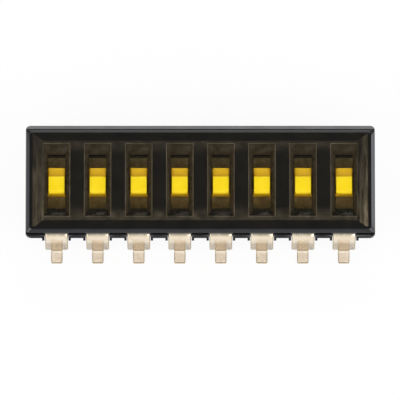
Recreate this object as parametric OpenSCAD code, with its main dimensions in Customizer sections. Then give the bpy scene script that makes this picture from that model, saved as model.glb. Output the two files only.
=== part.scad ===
// Slide DIP switch with gull-wing terminals, in millimetres.
// X runs along the row of slides, +Y points to the far row of terminals, Z = 0 is the board.

/* [Layout] */
// Number of switch positions
positions = 8; // [2:1:12]
// Spacing of the slides and of the terminals
pitch = 2.54; // [2.44:0.02:3.2]
// Distance from the middle of the last slot to the end of the body
end_margin = 1.91; // [1.75:0.01:3]

/* [Base] */
// Width of the body over its two rims
body_w = 7.15; // [6.8:0.05:9]
// Corner radius of the body seen from above
corner_r = 0.3; // [0.1:0.05:0.6]
// Height of the seam between base and cover above the board
seam_z = 3.1; // [2.6:0.05:4]
// Gap between the underside of the base and the board
standoff = 0.1; // [0.05:0.05:0.3]
// Height of the near rim above the seam
rim_h = 0.1; // [0.05:0.01:0.2]
// Height of the far rim above the seam
far_rim_h = 0.17; // [0.15:0.01:0.22]
// Thickness of the near rim
rim_t = 0.16; // [0.12:0.01:0.25]
// Slope of the rims' tops down to their outer edges, in degrees
rim_slope = 18; // [0:1:22]
// Height of the flange, from the top of the near rim down
flange_h = 0.3; // [0.2:0.05:0.6]
// Overhang of the flange above the side wall
flange_lip = 0.175; // [0.15:0.005:0.3]
// Inward lean of the side walls, in degrees
side_lean = 14; // [5:1:16]
// Inward lean of the end walls, in degrees
end_lean = 4; // [0:1:8]
// Depth of the slide channels below the seam
deck_depth = 0.8; // [0.7:0.05:1.2]
// Thickness of the ribs between two pockets
rib_t = 0.3; // [0.2:0.02:0.4]
// Width of the ledge that carries a contact rail
rail_seat = 0.12; // [0.08:0.01:0.2]
// Length of the ledge at the far end of a pocket
end_seat = 0.68; // [0.5:0.02:0.75]
// Width of the posts that guide each lead
guide_w = 0.15; // [0.1:0.01:0.22]
// Reach of the guide posts beyond the rim
guide_out = 0.025; // [0.01:0.005:0.05]
// Length of the guide posts below the flange
guide_drop = 0.48; // [0.2:0.02:0.7]
// Depth of the relief in the underside
relief_h = 0.15; // [0.05:0.05:0.3]
// Width of the border around the relief
relief_border = 0.8; // [0.5:0.1:1.2]

/* [Cover] */
// Thickness of the cover above the seam
cover_t = 0.35; // [0.3:0.01:0.6]
// Height of the upright edge of the cover
cover_wall_h = 0.18; // [0.1:0.01:0.25]
// Width of the bevel around the top face
bevel_w = 0.21; // [0.1:0.01:0.3]
// Width of the groove between the cover and the near rim
groove_w = 0.118; // [0.05:0.002:0.16]
// Width of the groove between the cover and the far rim
far_groove_w = 0.03; // [0.02:0.01:0.12]
// Setback of the cover from the ends of the base
cover_setback = 0.025; // [0.01:0.005:0.1]
// Corner radius of the cover seen from above
cover_r = 0.16; // [0.05:0.01:0.3]
// Width of the opening at the bottom of a slot
aperture_w = 1.06; // [0.9:0.02:1.2]
// Room between the end of a slide's travel and the end of the opening
aperture_room = 0.16; // [0.05:0.01:0.25]
// Run of the slope at each end of a slot
end_slope = 0.605; // [0.3:0.005:0.65]
// Run of the slope along each side of a slot
side_slope = 0.29; // [0.15:0.01:0.4]
// Thickness of the lugs that locate the cover
lug_t = 0.3; // [0.2:0.02:0.36]
// Length of the locating lugs
lug_l = 3; // [2:0.1:4]
// Depth of the locating lugs below the seam
lug_h = 0.5; // [0.3:0.05:0.7]
// Clearance around the locating lugs
lug_gap = 0.02; // [0.01:0.01:0.05]

/* [Film] */
// Thickness of the sealing film
film_t = 0.05; // [0.03:0.01:0.1]
// Distance from the film to the edge of the top face
film_margin = 0.1; // [0.03:0.01:0.3]

/* [Slide] */
// Travel of a slide to each side of the middle
travel = 0.65; // [0.4:0.05:0.7]
// Running clearance of a slide
slide_gap = 0.03; // [0.02:0.005:0.05]
// Distance from the middle of the slot to the near face of the knob
knob_near = 0.78; // [0.7:0.01:0.9]
// Length of the knob's top
knob_l = 1.08; // [0.8:0.02:1.2]
// Height of the knob above the seam
knob_rise = 0.2; // [0.1:0.01:0.3]
// Step from the side of the slide in to the side of the knob
knob_inset = 0.01; // [0:0.005:0.05]
// Chamfer along the knob's top edges
knob_chamfer = 0.04; // [0.02:0.01:0.1]
// Length of the lower step behind the knob
step_l = 0.62; // [0.4:0.02:0.8]
// Depth of the step's top below the seam
step_drop = 0.15; // [0.1:0.01:0.2]
// Length of the skid under each end of the slide
skid_l = 0.32; // [0.2:0.02:0.45]
// Reach of the two runners beyond each skid
runner_l = 0.32; // [0.1:0.02:0.35]
// Height of the waist that the wiper clips round
waist_h = 0.3; // [0.2:0.02:0.32]

/* [Wiper] */
// Thickness of the wiper's strip
wiper_t = 0.07; // [0.05:0.01:0.08]
// Clearance between the wiper and the walls beside it
wiper_gap = 0.1; // [0.05:0.01:0.14]
// Clearance between the wiper and the skids beside it
wiper_play = 0.02; // [0.01:0.01:0.05]
// Clearance between the wiper's contact edges and the rails
contact_gap = 0.03; // [0.02:0.005:0.05]

/* [Terminals] */
// Thickness of the terminal strip
lead_t = 0.2; // [0.15:0.01:0.25]
// Width of a lead at the body
lead_w = 1.4; // [1.2:0.02:1.6]
// Clearance between a lead and the base beside it
lead_gap = 0.04; // [0.02:0.01:0.08]
// Distance from the rim out to the outer face of a leg
leg_out = 0.055; // [0.04:0.005:0.3]
// Inside radius of the bend from the seam to the leg
bend_r = 0.22; // [0.15:0.01:0.3]
// Height of the shoulder where a lead narrows above the bend of its foot
shoulder_up = 0.05; // [0.02:0.01:0.4]
// Corner radius of the shoulder
shoulder_r = 0.15; // [0.05:0.01:0.3]
// Width of a foot
foot_w = 0.7; // [0.5:0.02:0.9]
// Inside radius of the bend from the leg to the foot
foot_bend_r = 0.15; // [0.1:0.01:0.25]
// Flat length of a foot beyond its bend
foot_l = 0.62; // [0.4:0.02:1.2]
// Width of the bar that joins a lead to its rail
bar_w = 0.35; // [0.25:0.01:0.5]
// Setback of a rail behind the edge of the cover's opening
rail_setback = 0.07; // [0.03:0.01:0.12]
// Clearance between a rail and the side of its pocket
rail_gap = 0.02; // [0.01:0.01:0.04]
// Reach of the near rail past the middle of the slot
near_rail_reach = 0.9; // [0.6:0.05:1.4]
// Distance from the middle of the slot to the tip of the far rail
far_rail_tip = 0.45; // [0.3:0.05:0.8]

/* [Hidden] */
$fn = 64;
// Overlap that carries a cut past the face it opens
cut = 0.1;

body_l = pitch * (positions - 1) + 2 * end_margin;
rim_z = seam_z + rim_h;
far_rim_z = seam_z + far_rim_h;
shell_top = max(rim_z, far_rim_z);
rim_y = body_w / 2;
rim_in = rim_y - rim_t;
flange_z = rim_z - flange_h;
under_y = rim_y - flange_lip;
wall_h = flange_z - standoff;
foot_y = under_y - wall_h * tan(side_lean);
end_in = wall_h * tan(end_lean);

deck_z = seam_z - deck_depth;
rail_z = seam_z - lead_t;
pocket_w = pitch - rib_t;
channel_w = pocket_w - 2 * rail_seat;

slide_far = knob_l + step_l - knob_near;
channel_near = knob_near + runner_l + travel + slide_gap;
channel_far = slide_far + runner_l + travel + slide_gap;
pocket_l = 2 * (max(channel_near, channel_far) + end_seat);
aperture_l = 2 * (max(knob_near, slide_far) + travel + aperture_room);
slot_l = aperture_l + 2 * end_slope;
slot_w = aperture_w + 2 * side_slope;

cover_l = body_l - 2 * cover_setback;
cover_w = 2 * (rim_in - groove_w);
cover_z = seam_z + cover_t;
far_rim_in = cover_w / 2 + far_groove_w;
near_edge_z = rim_z - rim_t * tan(rim_slope);
far_edge_z = far_rim_z - (rim_y - far_rim_in) * tan(rim_slope);
lug_x = (body_l / 2 + pitch * (positions - 1) / 2 + pocket_w / 2) / 2;

leg_y = rim_y + leg_out;
bend_y = leg_y - lead_t - bend_r;
bend_z = rail_z - bend_r;
foot_bend_y = leg_y + foot_bend_r;
foot_bend_z = lead_t + foot_bend_r;
foot_tip = foot_bend_y + foot_l;
shoulder_z = foot_bend_z + shoulder_up;
notch_w = lead_w + 2 * lead_gap;
rail_in = aperture_w / 2 + rail_setback;
rail_out = pocket_w / 2 - rail_gap;

slide_w = aperture_w - 2 * slide_gap;
knob_w = slide_w - 2 * knob_inset;
skid_w = channel_w - 2 * slide_gap;
skid_z = deck_z + slide_gap;
skid_top = rail_z - slide_gap;
wiper_w = channel_w - 2 * wiper_gap;
waist_w = wiper_w - 2 * wiper_t;
waist_z = skid_z + wiper_t + slide_gap;
arm_z = waist_z + waist_h;
contact_z = rail_z - contact_gap;

// Place along the row of position k, counted from 1
function place_x(k) = (k - (positions + 1) / 2) * pitch;

// Extrudes an outline drawn in Y and Z to both sides of X = 0
module along_x(length) {
    translate([-length / 2, 0, 0])
        rotate([90, 0, 90])
            linear_extrude(length)
                children();
}

// Extrudes an outline drawn in X and Z to both sides of Y = 0
module along_y(length) {
    translate([0, length / 2, 0])
        rotate([90, 0, 0])
            linear_extrude(length)
                children();
}

// Rectangle with round corners about the origin
module round_rect(length, width, radius) {
    square([length - 2 * radius, width], center = true);
    square([length, width - 2 * radius], center = true);
    for (sx = [-1, 1], sy = [-1, 1])
        translate([sx * (length / 2 - radius), sy * (width / 2 - radius)])
            circle(radius);
}

// Outline from width w0 at height z0 to width w1 at height z1, upright for a length over past both
module flared(w0, w1, z0, z1, over) {
    polygon([
        [-w0 / 2, z0 - over], [w0 / 2, z0 - over], [w0 / 2, z0],
        [w1 / 2, z1], [w1 / 2, z1 + over], [-w1 / 2, z1 + over], [-w1 / 2, z1], [-w0 / 2, z0]
    ]);
}

// Block centred in X and Y, from height z0 to z1
module block(length, width, z0, z1) {
    translate([-length / 2, -width / 2, z0])
        cube([length, width, z1 - z0]);
}

// Tub of the base before the pockets are cut, with a thin near rim and a wider far rim that slope outwards
module base_shell() {
    intersection() {
        along_x(body_l)
            polygon([
                [-foot_y, standoff], [foot_y, standoff], [under_y, flange_z],
                [rim_y, flange_z], [rim_y, far_edge_z], [far_rim_in, far_rim_z], [far_rim_in, seam_z],
                [-rim_in, seam_z], [-rim_in, rim_z], [-rim_y, near_edge_z], [-rim_y, flange_z],
                [-under_y, flange_z]
            ]);
        along_y(body_w)
            polygon([
                [-body_l / 2 + end_in, standoff], [body_l / 2 - end_in, standoff],
                [body_l / 2, flange_z], [body_l / 2, shell_top],
                [-body_l / 2, shell_top], [-body_l / 2, flange_z]
            ]);
        linear_extrude(shell_top)
            round_rect(body_l, body_w, corner_r);
    }
}

// Posts on both sides of the far lead of one position
module lead_guides() {
    for (s = [-1, 1])
        translate([s * (notch_w + guide_w) / 2, 0, 0])
            translate([-guide_w / 2, bend_y - rim_t, flange_z - guide_drop])
                cube([guide_w, rim_y + guide_out - bend_y + rim_t, seam_z - flange_z + guide_drop]);
}

// Channel of one position, the ledges for its rails, the near lead's notch and the far lead's window
module pocket() {
    translate([-channel_w / 2, -channel_near, deck_z])
        cube([channel_w, channel_near + channel_far, deck_depth + cut]);
    block(pocket_w, pocket_l, rail_z, seam_z + cut);
    block(notch_w, 2 * bend_y, rail_z, seam_z + cut);
    translate([-notch_w / 2, bend_y, bend_z - lead_gap])
        cube([notch_w, leg_y + cut - bend_y, seam_z - bend_z + lead_gap]);
    translate([-notch_w / 2, -leg_y - cut, bend_z - lead_gap])
        cube([notch_w, leg_y + cut - bend_y, rim_z + cut - bend_z + lead_gap]);
}

module base() {
    color("#1f1f22")
        difference() {
            union() {
                base_shell();
                for (k = [1:positions], turn = [0, 180])
                    translate([place_x(k), 0, 0])
                        rotate([0, 0, turn])
                            lead_guides();
            }
            for (k = [1:positions])
                translate([place_x(k), 0, 0])
                    pocket();
            for (s = [-1, 1])
                translate([s * lug_x, 0, 0])
                    block(lug_t + 2 * lug_gap, lug_l + 2 * lug_gap, seam_z - lug_h - lug_gap, seam_z + cut);
            block(
                body_l - 2 * end_in - 2 * relief_border, 2 * (foot_y - relief_border),
                standoff - cut, standoff + relief_h
            );
        }
}

// Funnel of one slot
module slot_funnel() {
    intersection() {
        along_x(slot_w + cut)
            flared(aperture_l, slot_l, seam_z, cover_z, cut);
        along_y(slot_l + cut)
            flared(aperture_w, slot_w, seam_z, cover_z, cut);
    }
}

module cover() {
    color("#18181b")
        difference() {
            union() {
                intersection() {
                    along_x(cover_l)
                        flared(cover_w, cover_w - 2 * bevel_w, seam_z + cover_wall_h, cover_z, cover_wall_h);
                    along_y(cover_w)
                        flared(cover_l, cover_l - 2 * bevel_w, seam_z + cover_wall_h, cover_z, cover_wall_h);
                    translate([0, 0, seam_z])
                        linear_extrude(cover_t)
                            round_rect(cover_l, cover_w, cover_r);
                }
                for (s = [-1, 1])
                    translate([s * lug_x, 0, 0])
                        block(lug_t, lug_l, seam_z - lug_h, seam_z + cover_wall_h);
            }
            for (k = [1:positions])
                translate([place_x(k), 0, 0])
                    slot_funnel();
        }
}

module seal_film() {
    inset = bevel_w + film_margin;
    color("#b9741a", 0.4)
        translate([0, 0, cover_z])
            linear_extrude(film_t)
                round_rect(cover_l - 2 * inset, cover_w - 2 * inset, cover_r);
}

// Slide with its knob, the lower step, the waist for the wiper, and a skid with two runners at each end
module slider() {
    knob_z = seam_z + knob_rise;
    step_z = seam_z - step_drop;
    runner_w = skid_w / 2 - rail_in;
    color("#f4c912") {
        along_x(slide_w)
            translate([-knob_near, waist_z])
                square([knob_l + step_l, step_z - waist_z]);
        along_x(knob_w)
            polygon([
                [-knob_near, step_z - knob_chamfer], [knob_l - knob_near, step_z - knob_chamfer],
                [knob_l - knob_near, knob_z - knob_chamfer], [knob_l - knob_near - knob_chamfer, knob_z],
                [-knob_near + knob_chamfer, knob_z], [-knob_near, knob_z - knob_chamfer]
            ]);
        along_x(waist_w)
            translate([-knob_near, waist_z])
                square([knob_l + step_l, waist_h]);
        for (y = [-knob_near, slide_far - skid_l])
            along_x(skid_w)
                translate([y, skid_z])
                    square([skid_l, skid_top - skid_z]);
        for (s = [-1, 1], y = [-knob_near - runner_l, slide_far - skid_l])
            translate([s * (rail_in + runner_w / 2), 0, 0])
                along_x(runner_w)
                    translate([y, skid_z])
                        square([runner_l + skid_l, skid_top - skid_z]);
    }
}

// Spring clip round the waist of the slide, with two contact edges under the rails
module wiper() {
    half_w = wiper_w / 2;
    half_in = waist_w / 2;
    length = knob_l + step_l - 2 * skid_l - 2 * wiper_play;
    side = [
        [half_w, waist_z - wiper_t], [half_w, arm_z + wiper_t / 2], [rail_in + wiper_t, contact_z],
        [rail_in, contact_z - wiper_t], [half_in, arm_z], [half_in, waist_z]
    ];
    other_side = [for (i = [len(side) - 1:-1:0]) [-side[i][0], side[i][1]]];
    color("#c39a4e")
        translate([0, -knob_near + skid_l + wiper_play + length, 0])
            rotate([90, 0, 0])
                linear_extrude(length)
                    polygon(concat(side, other_side));
}

// Side outline of a far lead from the bend at the seam to the tip of the foot, in Y and Z
module lead_outline() {
    intersection() {
        translate([bend_y, bend_z])
            difference() {
                circle(bend_r + lead_t);
                circle(bend_r);
            }
        translate([bend_y, bend_z])
            square(bend_r + lead_t);
    }
    translate([leg_y - lead_t, foot_bend_z])
        square([lead_t, bend_z - foot_bend_z]);
    intersection() {
        translate([foot_bend_y, foot_bend_z])
            difference() {
                circle(foot_bend_r + lead_t);
                circle(foot_bend_r);
            }
        translate([leg_y - lead_t, 0])
            square(foot_bend_r + lead_t);
    }
    translate([foot_bend_y, 0])
        square([foot_l, lead_t]);
}

// Front outline of a lead, wide above its shoulder and narrow below it, in X and Z
module lead_front() {
    translate([-lead_w / 2, shoulder_z + shoulder_r])
        square([lead_w, seam_z - shoulder_z - shoulder_r]);
    translate([-lead_w / 2 + shoulder_r, shoulder_z])
        square([lead_w - 2 * shoulder_r, shoulder_r]);
    for (s = [-1, 1])
        translate([s * (lead_w / 2 - shoulder_r), shoulder_z + shoulder_r])
            circle(shoulder_r);
    translate([-foot_w / 2, 0])
        square([foot_w, shoulder_z + shoulder_r]);
}

// Terminal of the far row, with the tip of its rail at rail_tip
module terminal(rail_tip) {
    bar_y = pocket_l / 2;
    color("#d9cdb8") {
        intersection() {
            along_x(lead_w)
                lead_outline();
            along_y(2 * foot_tip)
                lead_front();
        }
        translate([0, 0, rail_z])
            linear_extrude(lead_t) {
                translate([-lead_w / 2, bar_y - bar_w])
                    square([lead_w, bend_y - bar_y + bar_w]);
                translate([-lead_w / 2, bar_y - bar_w])
                    square([rail_out + lead_w / 2, bar_w - rail_gap]);
                translate([rail_in, rail_tip])
                    square([rail_out - rail_in, bar_y - rail_tip - rail_gap]);
            }
    }
}

base();
cover();
seal_film();
for (k = [1:positions])
    translate([place_x(k), 0, 0]) {
        slider();
        wiper();
        rotate([0, 0, 180]) terminal(-near_rail_reach);
        terminal(far_rail_tip);
    }
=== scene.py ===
"""Looks of an eight-way slide DIP switch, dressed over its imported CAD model."""

import itertools
import logging
import math
from collections.abc import Callable
from dataclasses import dataclass, field
from enum import Enum, IntEnum

import bmesh
import bpy
from bmesh.types import BMEdge, BMesh, BMFace, BMVert
from mathutils import Matrix, Vector


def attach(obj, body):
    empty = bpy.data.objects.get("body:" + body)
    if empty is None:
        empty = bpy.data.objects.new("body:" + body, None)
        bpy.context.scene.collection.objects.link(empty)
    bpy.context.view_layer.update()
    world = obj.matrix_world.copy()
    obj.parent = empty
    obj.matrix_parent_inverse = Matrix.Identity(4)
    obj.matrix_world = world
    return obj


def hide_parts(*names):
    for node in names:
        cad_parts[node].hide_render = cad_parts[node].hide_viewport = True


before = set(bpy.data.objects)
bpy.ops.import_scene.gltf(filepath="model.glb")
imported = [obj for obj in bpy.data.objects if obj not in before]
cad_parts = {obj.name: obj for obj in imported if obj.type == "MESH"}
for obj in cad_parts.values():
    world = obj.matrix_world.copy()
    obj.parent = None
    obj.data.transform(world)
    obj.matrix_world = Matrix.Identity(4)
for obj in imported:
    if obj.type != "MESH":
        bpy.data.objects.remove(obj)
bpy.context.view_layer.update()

LOG = logging.getLogger("dip_switch")
MM = 0.001
HOUSING = "housing"
POSITIONS = 8
NUMBERS = range(1, POSITIONS + 1)
ALONG_X = Vector((1, 0, 0))
ALONG_Y = Vector((0, 1, 0))
ALONG_Z = Vector((0, 0, 1))
Sizes = tuple[float, float, float]

# Sizes in millimetres that several pieces share
PITCH = 2.54
SEAM_Z = 3.1
COVER_L = 21.55
COVER_W = 6.594
COVER_T = 0.35
CORNER_R = 0.16
BEVEL_W = 0.21
FILM_MARGIN = 0.1
SLOT_L = 4.67
SLOT_W = 1.64

# Tolerances in millimetres, and the least part of a normal along an axis that its face looks along
HAIR = 1e-5
NEAR_ENOUGH = 1e-3
FACING = 0.9

# Angles in degrees: faces that meet at less are joined as flat, or shaded as one round surface
FLAT_DEG = 0.5
ROUND_DEG = 40

# Patterns: attributes of the film, spread of the noise, and sockets of a Mix node set to colours
HAZE = "haze"
GLARE = "glare"
NOISE_DETAIL = 3.0
NOISE_LOW = 0.3
NOISE_HIGH = 0.7
RELIEF_STRENGTH = 0.3
COLOUR_A = 6
COLOUR_B = 7
COLOUR_OUT = 2


class Row(Enum):
    """The two rows of terminals, with the turn about Z that takes the far row's form there."""

    NEAR = math.pi
    FAR = 0.0


class BaseZone(IntEnum):
    """Zones of the base, numbered as its finishes are."""

    SKIN = 0
    DECK = 1
    FLANGE = 2


class CoverZone(IntEnum):
    """Zones of the cover, numbered as its finishes are."""

    SKIN = 0
    SLOPE = 1
    NEAR_SLOPE = 2
    TOP = 3


class LeadZone(IntEnum):
    """Zones of a terminal, numbered as its finishes are."""

    STRIP = 0
    FOOT = 1
    CUT = 2


def linear(hex_colour: str) -> tuple[float, float, float, float]:
    """Turns an sRGB hex colour into linear light.

    Args:
        hex_colour: Six hex digits after a hash sign.

    Returns:
        Linear red, green and blue, and an alpha of 1.
    """
    parts = [int(hex_colour[i:i + 2], 16) / 255 for i in (1, 3, 5)]
    light = [p / 12.92 if p <= 0.04045 else ((p + 0.055) / 1.055) ** 2.4 for p in parts]
    return (*light, 1.0)


def per_metre(size_mm: float) -> float:
    """Gives the texture scale for features of a size in millimetres."""
    return 1 / (size_mm * MM)


def evenly(size_mm: float) -> Sizes:
    """Gives a pattern the same size along X, Y and Z."""
    return (size_mm, size_mm, size_mm)


def add_node(tree: bpy.types.NodeTree, kind: str, settings: dict | None = None,
             inputs: dict | None = None) -> bpy.types.Node:
    """Adds a node with its settings and links.

    Args:
        tree: Node tree that the node joins.
        kind: Type name of the node.
        settings: Attributes of the node to set.
        inputs: Value or output socket for each input, by name or number.

    Returns:
        The new node.
    """
    node = tree.nodes.new(kind)
    for name, value in (settings or {}).items():
        setattr(node, name, value)
    for name, value in (inputs or {}).items():
        if isinstance(value, bpy.types.NodeSocket):
            tree.links.new(value, node.inputs[name])
        else:
            node.inputs[name].default_value = value
    return node


def mottle(tree: bpy.types.NodeTree, place: bpy.types.NodeSocket, size_mm: Sizes,
           low: float, high: float) -> bpy.types.NodeSocket:
    """Lays soft noise that runs between two values.

    Args:
        tree: Node tree of the material.
        place: Object coordinates.
        size_mm: Size of the noise's features along X, Y and Z, in millimetres.
        low: Value at the bottom of the noise.
        high: Value at the top of the noise.

    Returns:
        The socket with the value.
    """
    sized = add_node(tree, "ShaderNodeMapping", inputs={
        "Vector": place, "Scale": [per_metre(s) for s in size_mm]})
    noise = add_node(tree, "ShaderNodeTexNoise", inputs={
        "Vector": sized.outputs["Vector"], "Scale": 1.0, "Detail": NOISE_DETAIL})
    spread = add_node(tree, "ShaderNodeMapRange", inputs={
        "Value": noise.outputs["Fac"], "From Min": NOISE_LOW, "From Max": NOISE_HIGH,
        "To Min": low, "To Max": high})
    return spread.outputs["Result"]


@dataclass(frozen=True)
class Finish:
    """A surface finish: mottled colour, uneven gloss and fine relief."""

    name: str
    slot: str
    colours: tuple[str, str]
    roughness: tuple[float, float]
    cloud_mm: Sizes
    grain_mm: Sizes = evenly(0.06)
    grain_depth_mm: float = 0.001
    metallic: float = 0.0
    ior: float = 1.5

    def material(self) -> bpy.types.Material:
        """Finds or makes the material of this finish.

        Returns:
            The material, shared by every piece with this finish.
        """
        found = bpy.data.materials.get(self.name)
        if found:
            return found
        made = bpy.data.materials.new(self.name)
        made.use_nodes = True
        made.diffuse_color = linear(self.colours[1])
        tree = made.node_tree
        tree.nodes.clear()
        place = add_node(tree, "ShaderNodeTexCoord").outputs["Object"]
        add_node(tree, "ShaderNodeOutputMaterial", inputs={"Surface": self.wire(tree, place)})
        return made

    def tone(self, tree: bpy.types.NodeTree, place: bpy.types.NodeSocket) -> bpy.types.NodeSocket:
        """Mixes the two colours of the finish in soft clouds.

        Args:
            tree: Node tree of the material.
            place: Object coordinates.

        Returns:
            The colour's output socket.
        """
        dark, pale = (linear(c) for c in self.colours)
        mixed = add_node(tree, "ShaderNodeMix", {"data_type": "RGBA"}, {
            "Factor": mottle(tree, place, self.cloud_mm, 0.0, 1.0), COLOUR_A: dark, COLOUR_B: pale})
        return mixed.outputs[COLOUR_OUT]

    def wire(self, tree: bpy.types.NodeTree, place: bpy.types.NodeSocket) -> bpy.types.NodeSocket:
        """Wires the shader of the finish.

        Args:
            tree: Node tree of the material.
            place: Object coordinates.

        Returns:
            The shader's output socket.
        """
        relief = add_node(tree, "ShaderNodeBump", inputs={
            "Height": mottle(tree, place, self.grain_mm, 0.0, 1.0),
            "Distance": self.grain_depth_mm * MM, "Strength": RELIEF_STRENGTH})
        shader = add_node(tree, "ShaderNodeBsdfPrincipled", inputs={
            "Base Color": self.tone(tree, place),
            "Roughness": mottle(tree, place, self.cloud_mm, *self.roughness),
            "Normal": relief.outputs["Normal"],
            "Metallic": self.metallic,
            "IOR": self.ior})
        return shader.outputs["BSDF"]


@dataclass(frozen=True)
class PaintedShadeFinish(Finish):
    """A finish with painted shade: its colour turns to a shade colour from one height to another, in
    millimetres.
    """

    shade_colour: str = "#000000"
    shade_z: float = 0.0
    bright_z: float = 1.0

    def tone(self, tree: bpy.types.NodeTree, place: bpy.types.NodeSocket) -> bpy.types.NodeSocket:
        """Mixes the painted shade colour in from the lit height to the shaded one.

        Args:
            tree: Node tree of the material.
            place: Object coordinates.

        Returns:
            The colour's output socket.
        """
        height = add_node(tree, "ShaderNodeSeparateXYZ", inputs={"Vector": place}).outputs["Z"]
        share = add_node(tree, "ShaderNodeMapRange", inputs={
            "Value": height, "From Min": self.shade_z * MM, "From Max": self.bright_z * MM})
        mixed = add_node(tree, "ShaderNodeMix", {"data_type": "RGBA"}, {
            "Factor": share.outputs["Result"],
            COLOUR_A: linear(self.shade_colour), COLOUR_B: super().tone(tree, place)})
        return mixed.outputs[COLOUR_OUT]


@dataclass(frozen=True)
class FilmFinish(Finish):
    """Clear film whose haze follows one attribute of its sheet round the slots, with a painted glare that
    follows another at its ends.
    """

    tint: str = "#ffffff"
    streak_mm: Sizes = (0.16, 1.4, 1.0)
    least_haze: float = 0.3
    edge_gloss: float = 0.016
    least_gloss: float = 0.004

    def wire(self, tree: bpy.types.NodeTree, place: bpy.types.NodeSocket) -> bpy.types.NodeSocket:
        """Wires a see-through film with haze, a painted glare in streaks, and a gloss that grows towards
        grazing angles.

        Args:
            tree: Node tree of the material.
            place: Object coordinates.

        Returns:
            The shader's output socket.
        """
        shares = []
        for attribute, size, low in ((HAZE, self.cloud_mm, self.least_haze), (GLARE, self.streak_mm, 0.0)):
            amount = add_node(tree, "ShaderNodeAttribute", {"attribute_name": attribute})
            shares.append(add_node(tree, "ShaderNodeMath", {"operation": "MULTIPLY"}, {
                0: amount.outputs["Fac"], 1: mottle(tree, place, size, low, 1.0)}).outputs["Value"])
        share = add_node(tree, "ShaderNodeMath", {"operation": "ADD"}, dict(enumerate(shares)))
        haze_and_glare = add_node(tree, "ShaderNodeBsdfDiffuse", inputs={"Color": self.tone(tree, place)})
        clear = add_node(tree, "ShaderNodeBsdfTransparent", inputs={"Color": linear(self.tint)})
        hazed = add_node(tree, "ShaderNodeMixShader", inputs={
            0: share.outputs["Value"], 1: clear.outputs["BSDF"], 2: haze_and_glare.outputs["BSDF"]})
        grazing = add_node(tree, "ShaderNodeLayerWeight", inputs={"Blend": self.edge_gloss})
        shine = add_node(tree, "ShaderNodeMapRange", inputs={
            "Value": grazing.outputs["Facing"], "To Min": self.least_gloss})
        gloss = add_node(tree, "ShaderNodeBsdfAnisotropic", inputs={
            "Roughness": mottle(tree, place, self.cloud_mm, *self.roughness)})
        film = add_node(tree, "ShaderNodeMixShader", inputs={
            0: shine.outputs["Result"], 1: hazed.outputs["Shader"], 2: gloss.outputs["BSDF"]})
        return film.outputs["Shader"]


# Moulded black polyester: a glossy skin with faint flow marks, whose edges catch thin grey lines.
# The mould's grain is drawn at 0.06 mm, coarser than the real one, so that it shows.
BODY_BLACK = Finish("Moulded black polyester", "housing", ("#111113", "#1a1a1c"), (0.18, 0.26), evenly(1.6))

# Black polyester on the channel floors, left matt by the mould, with painted light: a pale brownish colour
# paints the light that reaches them through the slots, tinted by the film and the yellow slides.
LIT_FLOOR_PAINT = Finish("Channel floor black with painted light", "housing", ("#756c4b", "#a0946f"), (0.55, 0.7), evenly(0.3),
                    grain_mm=evenly(0.07), grain_depth_mm=0.003)

# Black polyester on the slopes of the slots, with painted light: they shine less than the cover's edge, and
# a brownish colour paints the light that falls on them, tinted by the film and the yellow slides.
LIT_SLOPE_PAINT = Finish("Slope black with painted light", "cover", ("#252016", "#332b20"), (0.24, 0.32), evenly(0.3),
                    ior=1.2)

# Black polyester on the near slopes of the slots, with painted shade: they turn away from the light, so a
# near-black colour paints their shade; they are smooth.
SHADED_SLOPE_PAINT = Finish("Slope black with painted shade", "cover", ("#0b0a09", "#13110f"), (0.2, 0.28), evenly(0.3),
                    ior=1.2)

# Blasted black polyester: the flange's sides are dead matt, so that they stay dark at any angle.
FLANGE_MATT = Finish("Blasted black polyester", "housing", ("#252526", "#2f2f30"), (0.8, 0.9), evenly(0.5),
                     grain_depth_mm=0.002, ior=1.03)

# Polished black polyester: the cover's mould is smoother, so that its bevels shine.
COVER_BLACK = Finish("Polished black polyester", "cover", ("#141417", "#1c1c20"), (0.14, 0.2), evenly(1.2),
                     grain_depth_mm=0.0007)

# Glued black polyester: the film's glue fills the gap, so that the top under it mirrors almost nothing.
GLUED_BLACK = Finish("Glued black polyester", "cover", ("#1a1a1b", "#201f1f"), (0.35, 0.45), evenly(1.2),
                     grain_depth_mm=0.0007, ior=1.06)

# Moulded yellow acetal: smooth, slightly waxy and translucent, with painted shade that turns it amber low in
# the slots.
SLIDE_YELLOW = PaintedShadeFinish("Moulded yellow acetal", "slide", ("#fbdf10", "#ffe71c"), (0.33, 0.43),
                            evenly(0.7), ior=1.48, shade_colour="#f6c60a", shade_z=2.9, bright_z=3.25)

# Matte tin plate on rolled strip: warm pale metal, with painted shade that darkens it low on the leg.
# Its rolling lines along X are drawn 0.03 mm apart, coarser than the real ones, so that they show.
LEAD_TIN = PaintedShadeFinish("Matte tin plate", "terminal", ("#ecdcc2", "#f6e8d2"), (0.21, 0.29), evenly(0.5),
                        grain_mm=(0.4, 0.03, 0.03), grain_depth_mm=0.0003, metallic=1.0,
                        shade_colour="#c4b6a0", shade_z=1.7, bright_z=2.3)

# Dipped tin solder: the feet are duller than the strip and pale at any angle, with painted shade that greys
# them up their bends.
FOOT_TIN = PaintedShadeFinish("Dipped tin solder", "terminal", ("#ece2d2", "#f7eee2"), (0.74, 0.84), evenly(0.2),
                        grain_mm=evenly(0.07), grain_depth_mm=0.0006, metallic=1.0,
                        shade_colour="#7f745e", shade_z=0.38, bright_z=0.202)

# Dull brown on the faces where the strip was cut, as painted shade: it draws dark lines along the lead's
# sides and its foot's end, and a painted shadow line under its shoulders.
EDGE_SHADE_BROWN = Finish("Cut edge with painted shade", "terminal", ("#a8946f", "#c0ad8a"), (0.5, 0.6), evenly(0.2),
                   grain_mm=evenly(0.05), grain_depth_mm=0.0006, metallic=1.0)

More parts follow.
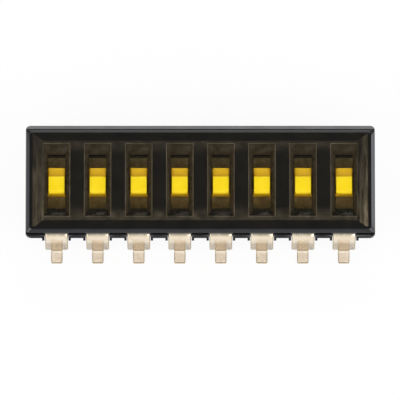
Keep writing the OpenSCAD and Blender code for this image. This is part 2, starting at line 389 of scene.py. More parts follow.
# Phosphor bronze strip: bare spring metal, brownish gold, with rolling lines along Y drawn as coarse.
WIPER_BRONZE = Finish("Phosphor bronze strip", "wiper", ("#8d6335", "#c99a55"), (0.25, 0.4), evenly(0.3),
                      grain_mm=(0.03, 0.4, 0.03), metallic=1.0)

# Amber polyimide film: clear and faintly yellow, milky brown where it lifts round the slots, with a painted
# glare in brownish streaks on its ends.
SEAL_AMBER = FilmFinish("Amber polyimide film", "film", ("#968868", "#aa9c82"), (0.05, 0.12), evenly(0.5),
                        tint="#fffdf8")


def place_x(number: int) -> float:
    """Gives the place along the row, in millimetres, of a position counted from 1."""
    return (number - (POSITIONS + 1) / 2) * PITCH


def from_slot(x: float) -> float:
    """Gives the distance in X from the middle of the nearest slot."""
    return min(abs(x - place_x(number)) for number in NUMBERS)


def everything(bm: BMesh) -> list:
    """Lists all vertices, edges and faces of a mesh."""
    return [*bm.verts, *bm.edges, *bm.faces]


def cut_through(bm: BMesh, point: Vector, normal: Vector, geometry: list | None = None) -> None:
    """Cuts a mesh along a plane without taking anything away.

    Args:
        bm: Mesh in millimetres.
        point: A point on the plane.
        normal: The plane's normal.
        geometry: What is cut, or None for all of the mesh.
    """
    bmesh.ops.bisect_plane(bm, geom=geometry or everything(bm), dist=HAIR, plane_co=point, plane_no=normal)


def whole(faces: list[BMFace]) -> list:
    """Lists faces with their vertices and edges."""
    return [*{v for f in faces for v in f.verts}, *{e for f in faces for e in f.edges}, *faces]


def only_faces(geometry: list) -> list[BMFace]:
    """Picks the faces from mixed geometry."""
    return [g for g in geometry if isinstance(g, BMFace)]


def pull(bm: BMesh, faces: list[BMFace], move: Sizes) -> list[BMFace]:
    """Extrudes faces along a vector.

    Args:
        bm: Mesh in millimetres.
        faces: Faces that are pulled.
        move: Vector that they are pulled along.

    Returns:
        The faces at the new end.
    """
    chosen = set(faces)
    loose = all(chosen.issuperset(e.link_faces) for f in faces for e in f.edges)
    made = bmesh.ops.extrude_face_region(bm, geom=faces)["geom"]
    bmesh.ops.translate(bm, verts=[g for g in made if isinstance(g, BMVert)], vec=move)
    if not loose:
        bmesh.ops.delete(bm, geom=faces, context="FACES")
    return only_faces(made)


def bend(bm: BMesh, faces: list[BMFace], centre: Sizes, angle: float, steps: int) -> list[BMFace]:
    """Carries faces round a bend about an axis along X.

    Args:
        bm: Mesh in millimetres.
        faces: Faces at the start of the bend.
        centre: A point on the axis.
        angle: Angle of the bend in radians.
        steps: Facets round the bend.

    Returns:
        The faces at the end of the bend.
    """
    made = bmesh.ops.spin(bm, geom=faces, cent=centre, axis=ALONG_X, angle=angle, steps=steps)
    bmesh.ops.delete(bm, geom=faces, context="FACES")
    return only_faces(made["geom_last"])


def find_faces(bm: BMesh, test: Callable[[Vector, Vector], bool]) -> list[BMFace]:
    """Finds faces by their middle and normal.

    Args:
        bm: Mesh in millimetres.
        test: Test of a face's middle and normal.

    Returns:
        The faces that pass.
    """
    bm.normal_update()
    return [f for f in bm.faces if test(f.calc_center_median(), f.normal)]


def find_edges(bm: BMesh, test: Callable[[Vector, Vector], bool]) -> list[BMEdge]:
    """Finds edges by their two ends.

    Args:
        bm: Mesh in millimetres.
        test: Test of an edge's two ends.

    Returns:
        The edges that pass.
    """
    return [e for e in bm.edges if test(e.verts[0].co, e.verts[1].co)]


def sharp_edges(bm: BMesh, least_deg: float) -> list[BMEdge]:
    """Finds the edges where two faces meet at an angle.

    Args:
        bm: Mesh in millimetres.
        least_deg: Smallest angle between the faces, in degrees.

    Returns:
        The sharp edges.
    """
    bm.normal_update()
    return [e for e in bm.edges if e.is_manifold and e.calc_face_angle() > math.radians(least_deg)]


def soften(bm: BMesh, edges: list[BMEdge], radius: float, segments: int) -> None:
    """Rounds edges.

    Args:
        bm: Mesh in millimetres.
        edges: Edges that are rounded.
        radius: Offset of the rounding in millimetres.
        segments: Facets across the rounding.
    """
    bmesh.ops.bevel(bm, geom=edges, offset=radius, offset_type="OFFSET", affect="EDGES",
                    segments=segments, profile=0.5, material=-1, clamp_overlap=False)


def node_mesh(node: str, merge: float) -> BMesh:
    """Copies a CAD node into a clean mesh in millimetres.

    Args:
        node: Name of the CAD node.
        merge: Distance within which vertices become one.

    Returns:
        The copy, with its loose triangles merged and its flat faces joined.
    """
    bm = bmesh.new()
    bm.from_mesh(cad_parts[node].data)
    bmesh.ops.scale(bm, vec=(1 / MM,) * 3, verts=bm.verts)
    bmesh.ops.remove_doubles(bm, verts=bm.verts, dist=merge)
    bmesh.ops.dissolve_limit(bm, angle_limit=math.radians(FLAT_DEG), verts=bm.verts, edges=bm.edges)
    return bm


def make_piece(bm: BMesh, name: str, finish: Finish, body: str, node: str,
               *more: Finish) -> bpy.types.Object:
    """Turns a mesh in millimetres into a finished piece that stands for a CAD node.

    Args:
        bm: Mesh in millimetres, freed at the end.
        name: Name of the piece.
        finish: Finish of the piece.
        body: CAD body that the piece moves with.
        node: CAD node that the piece stands for.
        more: Finishes of the faces whose material index is 1 and up.

    Returns:
        The piece's object.
    """
    bmesh.ops.remove_doubles(bm, verts=bm.verts, dist=HAIR)
    bmesh.ops.recalc_face_normals(bm, faces=bm.faces)
    bmesh.ops.scale(bm, vec=(MM,) * 3, verts=bm.verts)
    mesh = bpy.data.meshes.new(name)
    bm.to_mesh(mesh)
    bm.free()
    mesh.shade_smooth()
    mesh.set_sharp_from_angle(angle=math.radians(ROUND_DEG))
    for used in (finish, *more):
        mesh.materials.append(used.material())
    piece = bpy.data.objects.new(name, mesh)
    bpy.context.scene.collection.objects.link(piece)
    flats = piece.modifiers.new("Flat faces stay flat", "WEIGHTED_NORMAL")
    flats.keep_sharp = True
    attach(piece, body)
    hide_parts(node)
    LOG.info("%s: %d faces, rides on %s, stands for %s", name, len(mesh.polygons), body, node)
    return piece


def dress_node(node: str, finish: Finish) -> None:
    """Gives a CAD node that stays in view its finish.

    Args:
        node: Name of the CAD node.
        finish: Finish of the node.
    """
    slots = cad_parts[node].data.materials
    slots.clear()
    slots.append(finish.material())
    LOG.info("%s: CAD solid kept, finish %s", node, finish.name)


@dataclass
class Base:
    """Moulded base with pockets, rims and lead guides, whose outer sides are matt."""

    rim_y: float = 3.575
    near_edge_z: float = 3.148
    near_chamfer: float = 0.115
    merge: float = 0.008
    sharp_deg: float = 35
    edge_round: float = 0.02
    round_steps: int = 2
    deck_z: float = 2.3
    # Reach in Y of the painted light on the channel floors; further under the cover they stay black, as in
    # shade.
    deck_end: float = 1.75
    finish: Finish = BODY_BLACK
    deck_finish: Finish = LIT_FLOOR_PAINT
    flange_finish: Finish = FLANGE_MATT

    def on_near_edge(self, point: Vector) -> bool:
        """Tells whether a point is on the outer edge of the near rim."""
        return abs(point.y + self.rim_y) < NEAR_ENOUGH and abs(point.z - self.near_edge_z) < NEAR_ENOUGH

    def on_deck(self, middle: Vector, normal: Vector) -> bool:
        """Tells whether a face is part of a channel floor."""
        return normal.z > FACING and abs(middle.z - self.deck_z) < NEAR_ENOUGH

    def build(self) -> bpy.types.Object:
        """Breaks the edges of the base as its mould does, paints light on the channel floors under the
        slots, and dresses the flanges.

        Returns:
            The base.
        """
        bm = node_mesh("base", self.merge)
        near_edges = find_edges(bm, lambda a, b: self.on_near_edge(a) and self.on_near_edge(b))
        soften(bm, near_edges, self.near_chamfer, 1)
        upper = [e for e in sharp_edges(bm, self.sharp_deg) if min(v.co.z for v in e.verts) > SEAM_Z]
        soften(bm, upper, self.edge_round, self.round_steps)
        # Only the channel floors under the slots get the painted light; the rest keeps the black skin, which
        # stands for the shade under the cover.
        for side in (-1, 1):
            decks = find_faces(bm, self.on_deck)
            cut_through(bm, side * self.deck_end * ALONG_Y, ALONG_Y, whole(decks))
        for face in find_faces(bm, lambda middle, normal: (
                self.on_deck(middle, normal) and abs(middle.y) < self.deck_end)):
            face.material_index = BaseZone.DECK
        for face in find_faces(bm, lambda middle, normal: (
                abs(normal.y) > FACING and abs(middle.y) > self.rim_y - NEAR_ENOUGH)):
            face.material_index = BaseZone.FLANGE
        return make_piece(bm, "base_moulding", self.finish, HOUSING, "base",
                          self.deck_finish, self.flange_finish)


@dataclass
class Cover:
    """Moulded cover with a bevelled edge and a funnel over each slide."""

    length: float = COVER_L
    width: float = COVER_W
    thickness: float = COVER_T
    wall_h: float = 0.18
    bevel_w: float = BEVEL_W
    corner_r: float = CORNER_R
    corner_steps: int = 6
    slot_l: float = SLOT_L
    slot_w: float = SLOT_W
    aperture_l: float = 3.46
    aperture_w: float = 1.06
    lug_x: float = 10.405
    lug_t: float = 0.3
    lug_l: float = 3.0
    lug_h: float = 0.5
    near_lap: float = 0.05
    sharp_deg: float = 25
    rim_round: float = 0.05
    top_round: float = 0.025
    skirt_round: float = 0.07
    round_steps: int = 3
    finish: Finish = COVER_BLACK
    slope_finish: Finish = LIT_SLOPE_PAINT
    near_slope_finish: Finish = SHADED_SLOPE_PAINT
    top_finish: Finish = GLUED_BLACK

    def plate(self) -> BMesh:
        """Makes the plate with its bevelled edge.

        Returns:
            The plate, cut along the outlines of the slots.
        """
        bm = bmesh.new()
        bmesh.ops.create_cube(bm, size=1)
        bmesh.ops.scale(bm, vec=(self.length, self.width, self.thickness), verts=bm.verts)
        bmesh.ops.translate(bm, vec=(0, 0, SEAM_Z + self.thickness / 2), verts=bm.verts)
        cut_through(bm, (SEAM_Z + self.wall_h) * ALONG_Z, ALONG_Z)
        top_z = SEAM_Z + self.thickness
        top = [v for v in bm.verts if abs(v.co.z - top_z) < NEAR_ENOUGH]
        inset = (1 - 2 * self.bevel_w / self.length, 1 - 2 * self.bevel_w / self.width, 1)
        bmesh.ops.scale(bm, vec=inset, verts=top)
        corners = find_edges(bm, lambda a, b: (a - b).xy.length < 2 * self.bevel_w)
        soften(bm, corners, self.corner_r, self.corner_steps)
        near_side = [v for v in bm.verts if v.co.y < -self.slot_l / 2]
        bmesh.ops.translate(bm, vec=(0, -self.near_lap, 0), verts=near_side)
        for side in (-1, 1):
            cut_through(bm, side * self.slot_l / 2 * ALONG_Y, ALONG_Y)
            for number in NUMBERS:
                x = place_x(number) + side * self.slot_w / 2
                cut_through(bm, x * ALONG_X, ALONG_X)
        return bm

    def open_slot(self, bm: BMesh, x: float) -> None:
        """Opens one funnel through the plate.

        Args:
            bm: The plate.
            x: Place of the slot along the row.
        """
        ends = find_faces(bm, lambda middle, normal: (
            abs(normal.z) > FACING and abs(middle.x - x) < self.slot_w / 2
            and abs(middle.y) < self.slot_l / 2))
        rims = [e for f in ends for e in f.edges]
        lower = [v for f in ends if f.normal.z < 0 for v in f.verts]
        narrow = (self.aperture_w / self.slot_w, self.aperture_l / self.slot_l, 1)
        bmesh.ops.scale(bm, vec=narrow, space=Matrix.Translation((-x, 0, 0)), verts=lower)
        bmesh.ops.delete(bm, geom=ends, context="FACES_ONLY")
        # Slopes that face the light get the painted light; the near ones, which turn away from it, get
        # painted shade.
        for slope in bmesh.ops.bridge_loops(bm, edges=rims)["faces"]:
            near = slope.calc_center_median().y < -self.aperture_l / 2
            slope.material_index = CoverZone.NEAR_SLOPE if near else CoverZone.SLOPE

    def add_lug(self, bm: BMesh, side: int) -> None:
        """Pulls one locating lug down from the underside.

        Args:
            bm: The plate with its slots.
            side: 1 for the lug at +X, and -1 for the one at -X.
        """
        half = Vector((self.lug_t / 2, self.lug_l / 2, 0))
        for sign in (-1, 1):
            for point, way in (((side * self.lug_x + sign * half.x) * ALONG_X, ALONG_X),
                               (sign * half.y * ALONG_Y, ALONG_Y)):
                under = find_faces(bm, lambda middle, normal: (
                    normal.z < -FACING and side * middle.x > self.lug_x - self.lug_l / 2))
                cut_through(bm, point, way, whole(under))
        foot = find_faces(bm, lambda middle, normal: (
            normal.z < -FACING and abs(middle.x - side * self.lug_x) < half.x and abs(middle.y) < half.y))
        pull(bm, foot, (0, 0, -self.lug_h))

    def round_edges(self, bm: BMesh) -> None:
        """Rounds the slots' rims, the top's outline, and the bevel's lower edge except at the far side.

        Args:
            bm: The cover with its slots and lugs.
        """
        top_z = SEAM_Z + self.thickness - NEAR_ENOUGH
        far_y = self.width / 2 - self.bevel_w / 2
        rims, outline, skirt = [], [], []
        for edge in sharp_edges(bm, self.sharp_deg):
            a, b = (v.co for v in edge.verts)
            in_slot = max(abs(a.y), abs(b.y)) < self.slot_l / 2 + NEAR_ENOUGH
            if min(a.z, b.z) < SEAM_Z + self.wall_h / 2:
                continue
            if in_slot and from_slot((a.x + b.x) / 2) < self.slot_w:
                rims.append(edge)
            elif min(a.z, b.z) > top_z:
                outline.append(edge)
            elif max(a.z, b.z) < top_z and min(a.y, b.y) < far_y:
                skirt.append(edge)
        for edges, radius in ((rims, self.rim_round), (outline, self.top_round), (skirt, self.skirt_round)):
            soften(bm, edges, radius, self.round_steps)

    def build(self) -> bpy.types.Object:
        """Builds the cover with its funnels, lugs and rounded edges.

        Returns:
            The cover.
        """
        bm = self.plate()
        for number in NUMBERS:
            self.open_slot(bm, place_x(number))
        for side in (-1, 1):
            self.add_lug(bm, side)
        bmesh.ops.remove_doubles(bm, verts=bm.verts, dist=NEAR_ENOUGH)
        self.round_edges(bm)
        top_z = SEAM_Z + self.thickness - NEAR_ENOUGH
        for face in find_faces(bm, lambda middle, normal: middle.z > top_z and normal.z > FACING):
            face.material_index = CoverZone.TOP
        return make_piece(bm, "cover_moulding", self.finish, HOUSING, "cover",
                          self.slope_finish, self.near_slope_finish, self.top_finish)


@dataclass
class Film:
    """Sealing film that lies on the cover, dips into its slots and hazes where it lifts or creases."""

    length: float = COVER_L - 2 * (BEVEL_W + FILM_MARGIN)
    width: float = COVER_W - 2 * (BEVEL_W + FILM_MARGIN)
    top_z: float = 3.5
    # A little under the solid's 0.05 mm, so that the film and the cover share no plane.
    thickness: float = 0.047
    corner_r: float = CORNER_R
    corner_turns: tuple[float, ...] = (15, 45, 75)
    slot_l: float = SLOT_L
    slot_w: float = SLOT_W
    dip: float = 0.012
    dip_lines: tuple[float, ...] = (0, 0.35, 0.7)
    end_power: int = 6
    far_y: float = 2.5
    near_y: float = -2.585
    end_x: float = 9.69
    mitre: float = 0.75
    edge: float = 0.03
    crease: float = 0.025
    rib_reach: float = 0.7
    rib_lines: tuple[float, ...] = (0.25, 0.5, 0.75, 1)
    slot_haze: float = 0.012
    rib_haze: float = 0.004
    far_haze: float = 0.09
    near_haze: float = 0.14
    crease_haze: float = 0.38
    # Painted glare: a lamp's reflection drawn into the film's colour on its loose ends.
    end_glare: float = 0.24
    glare_fade: float = 0.7
    glare_to_x: float = 10.36
    fold_x: float = 10.08
    fold_glare: float = 1.2
    finish: Finish = SEAL_AMBER

    @staticmethod
    def ramp(value: float, start: float, end: float) -> float:
        """Runs smoothly from 0 to 1 as a value goes from start to end."""
        share = min(max((value - start) / (end - start), 0.0), 1.0)
        return share * share * (3 - 2 * share)

    def step_at(self, value: float, place: float) -> float:
        """Runs from 0 to 1 as a value passes a place, over the width of a soft edge."""
        return self.ramp(value, place - self.edge, place + self.edge)

    def inside(self, x: float, y: float) -> float:
        """Gives 1 within the mitred border along the long sides, and 0 on the border."""
        border = (self.far_y if y > 0 else -self.near_y) + self.mitre * max(abs(x) - self.end_x, 0.0)
        return self.step_at(border - abs(y), 0)

    def at_end(self, x: float) -> float:
        """Gives 1 on the loose ends of the film, and 0 between them."""
        return self.step_at(abs(x), self.end_x)

    def haze(self, x: float, y: float) -> float:
        """Works out the haze at a point between the ends of the film.

        Args:
            x: Place along the row.
            y: Place across the row.

        Returns:
            Share of the light that the film scatters.
        """
        out_x, out_y = from_slot(x) - self.slot_w / 2, abs(y) - self.slot_l / 2
        beside, past = self.step_at(out_x, 0), self.step_at(out_y, 0)
        near_end = self.ramp(out_y, -self.rib_reach, 0)
        band = (self.far_haze if y > 0 else self.near_haze) * max(past, beside * near_end)
        rim = 1 - self.ramp(abs(max(out_x, out_y)), self.crease / 2, self.crease)
        clear = self.slot_haze * (1 - beside) + self.rib_haze * beside
        return max(clear, band, self.crease_haze * rim) * self.inside(x, y) * (1 - self.at_end(x))

    def glare(self, x: float, y: float) -> float:
        """Works out the painted glare on the loose ends, in streaks, which is strongest past the fold at +X.

        Args:
            x: Place along the row.
            y: Place across the row.

        Returns:
            Share of the film's colour given to the painted glare.
        """
        fade = 1 - self.glare_fade * self.ramp(y, 0, self.far_y)
        lifted = 1 - self.step_at(abs(x), self.glare_to_x)
        fold = 1 + self.fold_glare * self.step_at(x, self.fold_x)
        return self.end_glare * self.at_end(x) * self.inside(x, y) * fade * lifted * fold

    def sag(self, x: float, y: float) -> float:
        """Works out how far the film dips at a point.

        Args:
            x: Place along the row.
            y: Place across the row.

        Returns:
            Depth of the dip in millimetres, 0 beside the slots.
        """
        side = 1 - min(2 * from_slot(x) / self.slot_w, 1.0) ** 2
        end = 1 - min(2 * abs(y) / self.slot_l, 1.0) ** self.end_power
        return self.dip * side * end

    def cut_lines(self, bm: BMesh) -> None:
        """Cuts the sheet where its haze or its dip changes.

        Args:
            bm: The flat sheet.
        """
        rim = [sign * self.crease * share for sign in (-1, 1) for share in (0.5, 1)]
        border = (-self.edge, self.edge)
        inner = [self.slot_w * share / 2 for share in self.dip_lines]
        offsets = [*inner, *(self.slot_w / 2 + step for step in (*rim, *border))]
        places = [place_x(n) + sign * o for n in NUMBERS for sign in (-1, 1) for o in offsets]
        limits = (self.end_x, self.glare_to_x, -self.end_x, -self.glare_to_x, self.fold_x)
        places += [x + step for x in limits for step in border]
        for x in sorted(set(places)):
            cut_through(bm, x * ALONG_X, ALONG_X)
        ends = [self.slot_l / 2 + step for step in (*rim, *border)]
        ribs = [self.slot_l / 2 - self.rib_reach * share for share in self.rib_lines]
        places = [sign * y for sign in (-1, 1) for y in (*ends, *ribs)]
        places += [y + step for y in (self.far_y, self.near_y) for step in border]
        for y in sorted(places):
            cut_through(bm, y * ALONG_Y, ALONG_Y)
        for side, y, step in itertools.product((-1, 1), (self.far_y, self.near_y), border):
            loose = [f for f in bm.faces if side * f.calc_center_median().x > self.end_x]
            slope = Vector((-side * self.mitre, math.copysign(1, y), 0))
            cut_through(bm, Vector((side * self.end_x, y + step, 0)), slope, whole(loose))

    def sheet(self) -> BMesh:
        """Makes the flat sheet with its round corners.

        Returns:
            The upper face of the film.
        """
        bm = bmesh.new()
        bmesh.ops.create_grid(bm, x_segments=1, y_segments=1, size=0.5)
        bmesh.ops.scale(bm, vec=(self.length, self.width, 1), verts=bm.verts)
        bmesh.ops.translate(bm, vec=(0, 0, self.top_z), verts=bm.verts)
        for side_x, side_y in itertools.product((-1, 1), repeat=2):
            centre = Vector((side_x * (self.length / 2 - self.corner_r),
                             side_y * (self.width / 2 - self.corner_r), 0))
            for turn in self.corner_turns:
                angle = math.radians(turn)
                way = Vector((side_x * math.cos(angle), side_y * math.sin(angle), 0))
                bmesh.ops.bisect_plane(bm, geom=everything(bm), dist=HAIR, clear_outer=True,
                                       plane_co=centre + way * self.corner_r, plane_no=way)
        self.cut_lines(bm)
        return bm

    def build(self) -> bpy.types.Object:
        """Builds the film and marks where it hazes and where glare is painted on its ends.

        Returns:
            The film.
        """
        bm = self.sheet()
        haze, glare = (bm.verts.layers.float.new(name) for name in (HAZE, GLARE))
        upper = bm.verts[:]
        pull(bm, bm.faces[:], (0, 0, -self.thickness))
        for vert in upper:
            vert[haze] = self.haze(vert.co.x, vert.co.y)
            vert[glare] = self.glare(vert.co.x, vert.co.y)
        for vert in bm.verts:
            vert.co.z -= self.sag(vert.co.x, vert.co.y)
        return make_piece(bm, "film_sheet", self.finish, HOUSING, "seal_film")


@dataclass
class Slide:
    """Yellow slide with its knob and step, and the spring clip under it."""

    number: int
    merge: float = 0.015
    near_soft: float = 0.1
    sharp_deg: float = 35
    edge_round: float = 0.022
    round_steps: int = 3
    finish: Finish = SLIDE_YELLOW
    clip_finish: Finish = WIPER_BRONZE

    def widen_near_chamfer(self, bm: BMesh) -> None:
        """Widens the chamfer of the knob's near edge both ways.

        Args:
            bm: Copy of the slide.
        """
        top_z = max(v.co.z for v in bm.verts)
        raised = [v for v in bm.verts if v.co.z > top_z - self.near_soft]
        near_y = min(v.co.y for v in raised)
        for vert in raised:
            if vert.co.y < near_y + NEAR_ENOUGH:
                vert.co.z -= self.near_soft
            elif vert.co.y < near_y + self.near_soft:
                vert.co.y += self.near_soft

    def build(self) -> bpy.types.Object:
        """Rounds the slide's moulded edges and dresses its clip.

        Returns:
            The slide.
        """
        bm = node_mesh(f"slider_{self.number}", self.merge)
        self.widen_near_chamfer(bm)
        soften(bm, sharp_edges(bm, self.sharp_deg), self.edge_round, self.round_steps)
        dress_node(f"wiper_{self.number}", self.clip_finish)
        return make_piece(bm, f"slide_knob_{self.number}", self.finish, f"slide_{self.number}",
                          f"slider_{self.number}")


@dataclass
class Terminal:
    """Gull-wing terminal bent from strip, with the contact rail that its inner end carries."""

    number: int
    row: Row
    strip_t: float = 0.2
    lead_w: float = 1.4
    foot_w: float = 0.7
    top_z: float = SEAM_Z
    bend_r: float = 0.22
    bend_y: float = 3.21
    shoulder_z: float = 0.4
    shoulder_r: float = 0.15
    shoulder_steps: int = 5
    foot_bend_r: float = 0.15
    foot_l: float = 0.62
    score_back: float = 0.17
    score_w: float = 0.04
    score_d: float = 0.025
    tip_taper: float = 0.04
    bar_y: float = 2.6
    bar_w: float = 0.35
    rail_in: float = 0.6
    rail_out: float = 1.1
    rail_gap: float = 0.02
    rail_tips: dict[Row, float] = field(default_factory=lambda: {Row.NEAR: -0.9, Row.FAR: 0.45})
    sharp_deg: float = 60
    edge_round: float = 0.045
    round_steps: int = 2
    cut_turn: float = 0.35
    bend_steps: int = 10
    finish: Finish = LEAD_TIN
    foot_finish: Finish = FOOT_TIN
    cut_finish: Finish = EDGE_SHADE_BROWN

    def is_shaded_edge(self, middle: Vector, normal: Vector) -> bool:
        """Tells whether a face of the lead is on a cut edge, which takes the painted edge shade.

        Args:
            middle: Middle of the face.
            normal: Normal of the face.

        Returns:
            True on the sides, under the shoulders and on the foot's end.
        """
        tip_y = self.bend_y + self.bend_r + self.strip_t + self.foot_bend_r + self.foot_l
        under = normal.z < -self.cut_turn and abs(middle.z - self.shoulder_z) < 2 * self.edge_round
        end = normal.y > self.cut_turn and middle.y > tip_y - 2 * self.edge_round
        return abs(normal.x) > self.cut_turn or end or (under and abs(middle.x) > self.foot_w / 2)

    def section(self, bm: BMesh) -> list[BMFace]:
        """Draws the strip's section where the outer bend starts.

        Args:
            bm: Empty mesh in millimetres.

        Returns:
            The section's faces, split at the foot's sides and at the rail.
        """
        half, low = self.lead_w / 2, self.top_z - self.strip_t
        corners = ((-half, low), (half, low), (half, self.top_z), (-half, self.top_z))
        bm.faces.new([bm.verts.new((x, self.bend_y, z)) for x, z in corners])
        for x in (-self.foot_w / 2, self.foot_w / 2, self.rail_in):
            cut_through(bm, x * ALONG_X, ALONG_X)
        return bm.faces[:]

    def inner_end(self, bm: BMesh, faces: list[BMFace]) -> None:
        """Pulls the seat, the bar and the contact rail inwards.

        Args:
            bm: Mesh of the terminal.
            faces: The strip's section.
        """
        seat = self.bend_y - self.bar_y + self.rail_gap
        faces = pull(bm, faces, (0, -seat, 0))
        bar_in = self.bar_y - self.bar_w
        pull(bm, faces, (0, bar_in - self.bar_y + self.rail_gap, 0))
        side = find_faces(bm, lambda middle, normal: (
            normal.x > FACING and bar_in < middle.y < self.bar_y - self.rail_gap))
        pull(bm, side, (self.rail_out - self.lead_w / 2, 0, 0))
        rail = find_faces(bm, lambda middle, normal: (
            normal.y < -FACING and middle.x > self.rail_in and abs(middle.y - bar_in) < NEAR_ENOUGH))
        pull(bm, rail, (0, self.rail_tips[self.row] - bar_in, 0))

    def lead(self, bm: BMesh, faces: list[BMFace]) -> None:
        """Bends the leg down, narrows it at the shoulder and turns the foot out.

        Args:
            bm: Mesh of the terminal.
            faces: The strip's section.
        """
        bend_z = self.top_z - self.strip_t - self.bend_r
        leg_y = self.bend_y + self.bend_r + self.strip_t
        faces = bend(bm, faces, (0, self.bend_y, bend_z), -math.pi / 2, self.bend_steps)
        faces = pull(bm, faces, (0, 0, self.shoulder_z - bend_z))
        foot = [f for f in faces if abs(f.calc_center_median().x) < self.foot_w / 2]
        foot_z = self.strip_t + self.foot_bend_r
        foot = pull(bm, foot, (0, 0, foot_z - self.shoulder_z))
        foot = bend(bm, foot, (0, leg_y + self.foot_bend_r, foot_z), math.pi / 2, self.bend_steps)
        flat = self.foot_l - self.score_back - self.score_w
        for length, drop in ((flat, 0), (self.score_w / 2, -self.score_d),
                             (self.score_w / 2, self.score_d), (self.score_back, 0)):
            foot = pull(bm, foot, (0, length, 0))
            upper = [v for f in foot for v in f.verts if v.co.z > self.strip_t / 2]
            bmesh.ops.translate(bm, verts=upper, vec=(0, 0, drop))
        narrow = 1 - self.tip_taper / self.foot_w
        bmesh.ops.scale(bm, vec=(narrow, 1, 1), verts=[v for f in foot for v in f.verts])

    def build(self) -> bpy.types.Object:
        """Builds the terminal in its row.

        Returns:
            The terminal.
        """
        bm = bmesh.new()
        faces = self.section(bm)
        self.inner_end(bm, faces)
        outer = find_faces(bm, lambda middle, normal: (
            abs(normal.y) > FACING and abs(middle.y - self.bend_y) < NEAR_ENOUGH))
        self.lead(bm, outer)
        shoulders = find_edges(bm, lambda a, b: abs(a.x - b.x) < NEAR_ENOUGH and all(
            abs(abs(p.x) - self.lead_w / 2) < NEAR_ENOUGH and abs(p.z - self.shoulder_z) < NEAR_ENOUGH
            for p in (a, b)))
        soften(bm, shoulders, self.shoulder_r, self.shoulder_steps)
        convex = [e for e in sharp_edges(bm, self.sharp_deg) if e.is_convex]
        soften(bm, convex, self.edge_round, self.round_steps)
        for face in find_faces(bm, lambda middle, normal: middle.y > self.bend_y):
            middle = face.calc_center_median()
            # Cut edges take the dull brown of the painted edge shade.
            if self.is_shaded_edge(middle, face.normal):
                face.material_index = LeadZone.CUT
            elif middle.z < self.shoulder_z:
                face.material_index = LeadZone.FOOT
        turn = Matrix.Rotation(self.row.value, 3, "Z")
        bmesh.ops.rotate(bm, cent=(0, 0, 0), matrix=turn, verts=bm.verts)
        bmesh.ops.translate(bm, vec=(place_x(self.number), 0, 0), verts=bm.verts)
        label = f"{self.row.name.lower()}_{self.number}"
        return make_piece(bm, f"lead_{label}", self.finish, HOUSING, f"terminal_{label}",
                          self.foot_finish, self.cut_finish)


@dataclass(frozen=True)
class SoftBox:
    """A soft box that looks at the object, with its place and size in millimetres."""

    name: str
    place: Sizes
    size: tuple[float, float]
    radiance: float
    colour: str = "#ffffff"

    def hang(self) -> None:
        """Hangs the box, with its face as bright as its radiance, where 1 is white."""
        box = bpy.data.lights.new(self.name, "AREA")
        box.shape = "RECTANGLE"
        box.size, box.size_y = (s * MM for s in self.size)
        box.color = linear(self.colour)[:3]
        box.energy = self.radiance * math.pi * box.size * box.size_y
        lamp = bpy.data.objects.new(self.name, box)
        lamp.location = Vector(self.place) * MM
        lamp.rotation_euler = (-lamp.location).to_track_quat("-Z", "Y").to_euler()
        bpy.context.scene.collection.objects.link(lamp)


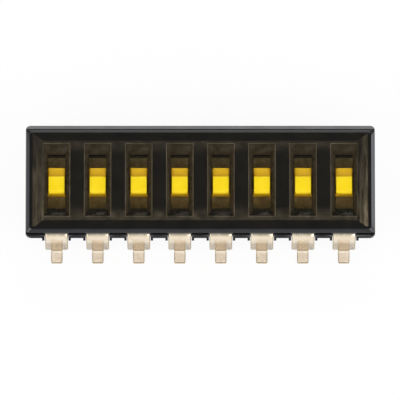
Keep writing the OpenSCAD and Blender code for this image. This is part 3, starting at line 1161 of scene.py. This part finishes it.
@dataclass
class Studio:
    """Plain pale table with soft light, and the camera of the photograph."""

    tilt_deg: float = 16.0
    view_width: float = 24.72
    aim: Sizes = (-0.02, -1.24, 3.3)
    lens: float = 1200.0
    sensor: float = 36.0
    clip: tuple[float, float] = (0.01, 10.0)
    floor_size: float = 3.0
    floor_colour: str = "#f8f8f8"
    floor_white: float = 0.93
    mirrored_white: float = 0.72
    horizon: float = 0.95
    zenith: float = 0.22
    bright_to_z: float = 0.15
    far_share: float = 0.35
    dim_from_z: float = 0.2
    far_from_y: float = 0.6
    boxes: tuple[SoftBox, ...] = (
        SoftBox("left_key", (-150, -125, 115), (210, 180), 2.5),
        SoftBox("right_key", (150, -125, 115), (210, 180), 2.5),
        SoftBox("far_strip", (0, 170, 135), (260, 44), 5.5),
        SoftBox("right_strip", (200, 59, 43), (50, 120), 2.7, "#f2f4ff"),
        SoftBox("left_strip", (-200, 59, 43), (50, 120), 0.45, "#f2f4ff"),
    )

    def floor_paint(self) -> bpy.types.Material:
        """Makes the table's white, bright to the eye and in mirrors, which still takes a shadow.

        Returns:
            The material.
        """
        paint = bpy.data.materials.new("White table")
        paint.use_nodes = True
        tree = paint.node_tree
        tree.nodes.clear()
        rays = add_node(tree, "ShaderNodeLightPath")
        share = add_node(tree, "ShaderNodeMath", {"operation": "MULTIPLY"}, {
            0: rays.outputs["Is Camera Ray"], 1: self.floor_white})
        for kind in ("Is Glossy Ray", "Is Transmission Ray"):
            share = add_node(tree, "ShaderNodeMath", {"operation": "MULTIPLY_ADD"}, {
                0: rays.outputs[kind], 1: self.mirrored_white, 2: share.outputs["Value"]})
        matt = add_node(tree, "ShaderNodeBsdfDiffuse", inputs={"Color": linear(self.floor_colour)})
        white = add_node(tree, "ShaderNodeEmission", inputs={"Color": (1, 1, 1, 1), "Strength": 1.0})
        mixed = add_node(tree, "ShaderNodeMixShader", inputs={
            0: share.outputs["Value"], 1: matt.outputs["BSDF"], 2: white.outputs["Emission"]})
        add_node(tree, "ShaderNodeOutputMaterial", inputs={"Surface": mixed.outputs["Shader"]})
        return paint

    def floor(self) -> None:
        """Lays the table."""
        bm = bmesh.new()
        bmesh.ops.create_grid(bm, x_segments=1, y_segments=1, size=self.floor_size / 2)
        mesh = bpy.data.meshes.new("table_top")
        bm.to_mesh(mesh)
        bm.free()
        mesh.materials.append(self.floor_paint())
        table = bpy.data.objects.new("table_top", mesh)
        bpy.context.scene.collection.objects.link(table)

    def sky(self) -> None:
        """Surrounds the table with white that darkens overhead and on the far side."""
        world = bpy.data.worlds.new("Soft surround")
        world.use_nodes = True
        tree = world.node_tree
        tree.nodes.clear()
        way = add_node(tree, "ShaderNodeTexCoord").outputs["Generated"]
        sides = add_node(tree, "ShaderNodeSeparateXYZ", inputs={"Vector": way}).outputs
        height = add_node(tree, "ShaderNodeMapRange", {"interpolation_type": "SMOOTHSTEP"}, {
            "Value": sides["Z"], "From Min": self.bright_to_z, "From Max": 1.0,
            "To Min": self.horizon, "To Max": self.zenith})
        above = add_node(tree, "ShaderNodeMapRange", inputs={
            "Value": sides["Z"], "From Min": 0.0, "From Max": self.dim_from_z,
            "To Min": 1.0, "To Max": self.far_share})
        depth = add_node(tree, "ShaderNodeMapRange", inputs={
            "Value": sides["Y"], "From Min": 0.0, "From Max": self.far_from_y,
            "To Min": 1.0, "To Max": above.outputs["Result"]})
        level = add_node(tree, "ShaderNodeMath", {"operation": "MULTIPLY"}, {
            0: height.outputs["Result"], 1: depth.outputs["Result"]})
        light = add_node(tree, "ShaderNodeBackground", inputs={
            "Color": (1, 1, 1, 1), "Strength": level.outputs["Value"]})
        add_node(tree, "ShaderNodeOutputWorld", inputs={"Surface": light.outputs["Background"]})
        bpy.context.scene.world = world

    def camera(self) -> None:
        """Sets the camera at the photograph's angle, through a long lens."""
        data = bpy.data.cameras.new("photo_camera")
        data.lens, data.sensor_width = self.lens, self.sensor
        data.clip_start, data.clip_end = self.clip
        camera = bpy.data.objects.new("photo_camera", data)
        distance = self.view_width * self.lens / self.sensor
        tilt = math.radians(self.tilt_deg)
        back = Vector((0, -math.sin(tilt), math.cos(tilt)))
        camera.location = (Vector(self.aim) + back * distance) * MM
        camera.rotation_euler = (tilt, 0, 0)
        bpy.context.scene.collection.objects.link(camera)
        bpy.context.scene.camera = camera

    def build(self) -> None:
        """Sets up the table, the light and the camera."""
        self.floor()
        self.sky()
        for box in self.boxes:
            box.hang()
        self.camera()
        bpy.context.scene.view_settings.view_transform = "Standard"
        LOG.info("studio: table, surround, %d soft boxes and the camera", len(self.boxes))


def main() -> None:
    """Builds the switch piece by piece and reports each."""
    logging.basicConfig(level=logging.INFO, format="%(name)s: %(message)s")
    Base().build()
    Cover().build()
    Film().build()
    for number in NUMBERS:
        Slide(number).build()
        for row in Row:
            Terminal(number, row).build()
    Studio().build()


if __name__ == "__main__":
    main()
